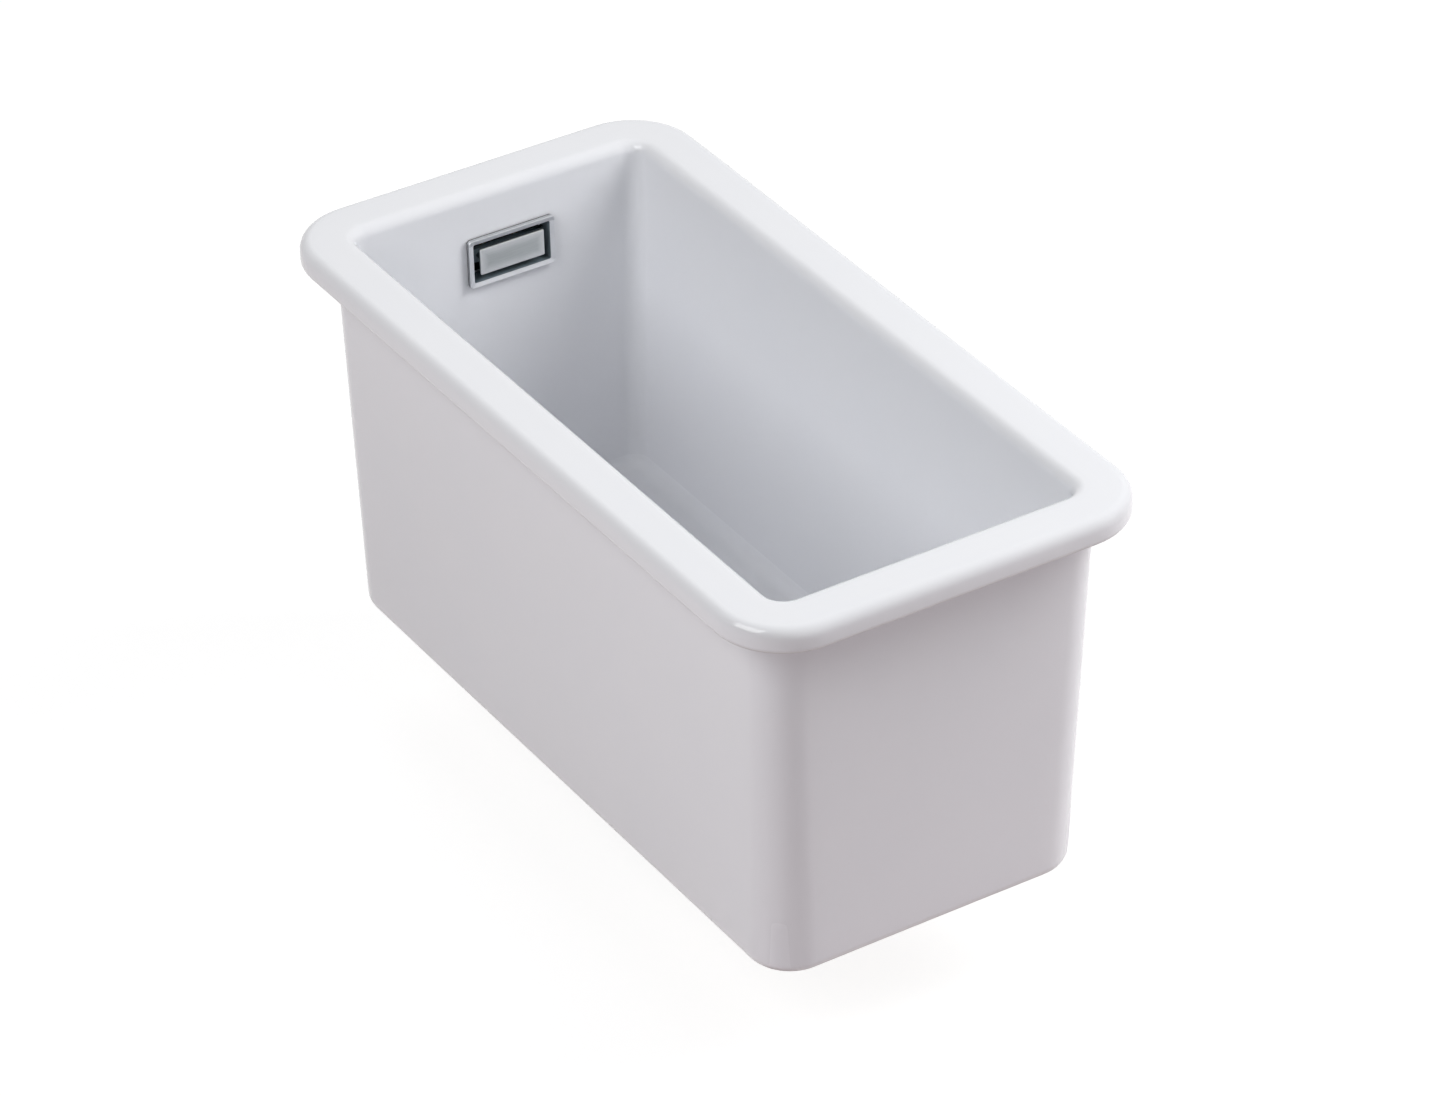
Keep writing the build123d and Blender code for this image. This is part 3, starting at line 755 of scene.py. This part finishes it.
def make_waste_body():
    """The waste's moulding, with its pipe thread cut into the tail."""
    body = bmesh.new()
    body.from_mesh(nodes["waste_body"].data)
    bmesh.ops.remove_doubles(body, verts=body.verts, dist=1e-6)
    wall = thread_crest - thread_depth / 2

    def on_tail(point):
        return point.z < thread_top + 1e-5 and point.to_2d().length > wall

    rows = round((thread_top - thread_end) / thread_pitch * thread_rows)
    for row in range(1, rows):
        faces = [face for face in body.faces if all(on_tail(vertex.co) for vertex in face.verts)]
        edges = list({edge for face in faces for edge in face.edges})
        level = thread_top + (thread_end - thread_top) * row / rows
        bmesh.ops.bisect_plane(body, geom=faces + edges, plane_co=(0, 0, level), plane_no=(0, 0, 1))
    for vertex in body.verts:
        if on_tail(vertex.co) and vertex.co.to_2d().length < thread_crest + 1e-5:
            flat = vertex.co.to_2d().normalized() * thread_radius(vertex.co)
            vertex.co = (flat.x, flat.y, vertex.co.z)
    mesh = bpy.data.meshes.new("waste_body_skin")
    body.to_mesh(mesh)
    body.free()
    mesh.shade_smooth()
    mesh.set_sharp_from_angle(angle=radians(28))
    made = piece("threaded_waste_body", mesh, plastic_finish, "sink", "black_plastic", "waste_body")
    made.modifiers.new("flat_faces_stay_flat", "WEIGHTED_NORMAL").keep_sharp = True
    return made


make_bowl()
make_hose()
make_waste_body()

# Camera, at the photograph's angle
photo_width = 1454
camera_azimuth = radians(-32.40)
camera_elevation = radians(33.72)
camera_roll = radians(-0.61)
camera_distance = 3.5124
camera_focus_px = 6194.1
sensor_width = 36.0
aim_side = -0.01375
aim_rise = 0.10853


def make_camera():
    """The camera, on its line of sight and shifted so that the sink lies as in the photograph."""
    back = Vector((
        sin(camera_azimuth) * cos(camera_elevation),
        -cos(camera_azimuth) * cos(camera_elevation),
        sin(camera_elevation),
    ))
    level = Vector((cos(camera_azimuth), sin(camera_azimuth), 0))
    upright = back.cross(level)
    right = level * cos(camera_roll) + upright * sin(camera_roll)
    up = upright * cos(camera_roll) - level * sin(camera_roll)
    data = bpy.data.cameras.new("photo_camera")
    data.sensor_width = sensor_width
    data.lens = camera_focus_px * sensor_width / photo_width
    made = bpy.data.objects.new("photo_camera", data)
    turn = Matrix((right, up, back)).transposed().to_4x4()
    turn.translation = back * camera_distance - right * aim_side - up * aim_rise
    made.matrix_world = turn
    bpy.context.scene.collection.objects.link(made)
    bpy.context.scene.camera = made


make_camera()

# Floor, light and background
floor_half = 6.0
floor_glow = 0.87
sky_level = 0.02
lamp_aim = Vector((0, 0, -0.1))
lamp_distance = 2.2


def seen(start):
    """One for rays from the camera, from mirrors and through glass, and nought for the rest."""
    path = {name: start.node("LightPath", output=name) for name in
            ("Is Camera Ray", "Is Glossy Ray", "Is Transmission Ray")}
    both = path["Is Camera Ray"].math("MAXIMUM", path["Is Camera Ray"], path["Is Glossy Ray"])
    return both.math("MAXIMUM", both, path["Is Transmission Ray"])


def studio_floor(start):
    """Matt pale floor that shows as white, with the sink's shadow on it, and is clear from below."""
    paint = start.node("BsdfDiffuse", None, {"Color": (0.80, 0.71, 0.735, 1)})
    shade = start.node("BsdfDiffuse", None, {"Color": (0.25, 0.25, 0.25, 1)})
    glow = start.node("Emission", None, {"Color": (1, 1, 1, 1), "Strength": floor_glow})
    white = start.node("AddShader", None, {0: shade, 1: glow})
    above = start.node("MixShader", None, {0: seen(start), 1: paint, 2: white})
    underside = start.node("NewGeometry", output="Backfacing")
    return start.node("MixShader", None, {0: underside, 1: above, 2: start.node("BsdfTransparent")})


def make_floor():
    """The studio's floor, level with the end of the waste's tail."""
    mesh = bpy.data.meshes.new("studio_floor")
    corners = [(x * floor_half, y * floor_half, cad_low.z) for x, y in ((-1, -1), (1, -1), (1, 1), (-1, 1))]
    mesh.from_pydata(corners, [], [(0, 1, 2, 3)])
    mesh.materials.append(finish("studio_floor", studio_floor))
    made = bpy.data.objects.new("studio_floor", mesh)
    bpy.context.scene.collection.objects.link(made)


def make_sky():
    """Even soft light from all round, seen as white."""
    world = bpy.data.worlds.new("studio_sky")
    world.use_nodes = True
    world.node_tree.nodes.clear()
    start = Value(world.node_tree)
    light = start.node("Background", None, {"Color": (0.98, 0.99, 1.0, 1), "Strength": sky_level})
    white = start.node("Background", None, {"Color": (1, 1, 1, 1), "Strength": 1.0})
    sky = start.node("MixShader", None, {0: seen(start), 1: light, 2: white})
    start.node("OutputWorld", None, {"Surface": sky})
    bpy.context.scene.world = world


def make_lamp(name, azimuth, elevation, width, height, power, mirrored):
    """Soft box that faces the bowl: its direction in degrees, from +X towards +Y and up."""
    data = bpy.data.lights.new(name, "AREA")
    data.shape = "RECTANGLE"
    data.size = width
    data.size_y = height
    data.energy = power
    made = bpy.data.objects.new(name, data)
    turn, climb = radians(azimuth), radians(elevation)
    away = Vector((cos(turn) * cos(climb), sin(turn) * cos(climb), sin(climb)))
    made.location = lamp_aim + away * lamp_distance
    made.rotation_euler = away.to_track_quat("Z", "Y").to_euler()
    made.visible_glossy = mirrored
    bpy.context.scene.collection.objects.link(made)


make_floor()
make_sky()
make_lamp("right_lamp", azimuth=330, elevation=41, width=1.0, height=1.6, power=39.8, mirrored=False)
make_lamp("left_lamp", azimuth=188, elevation=42, width=1.3, height=1.3, power=24.4, mirrored=True)
make_lamp("back_lamp", azimuth=80, elevation=52, width=1.0, height=1.2, power=8.6, mirrored=False)

bpy.context.scene.view_settings.view_transform = "Standard"
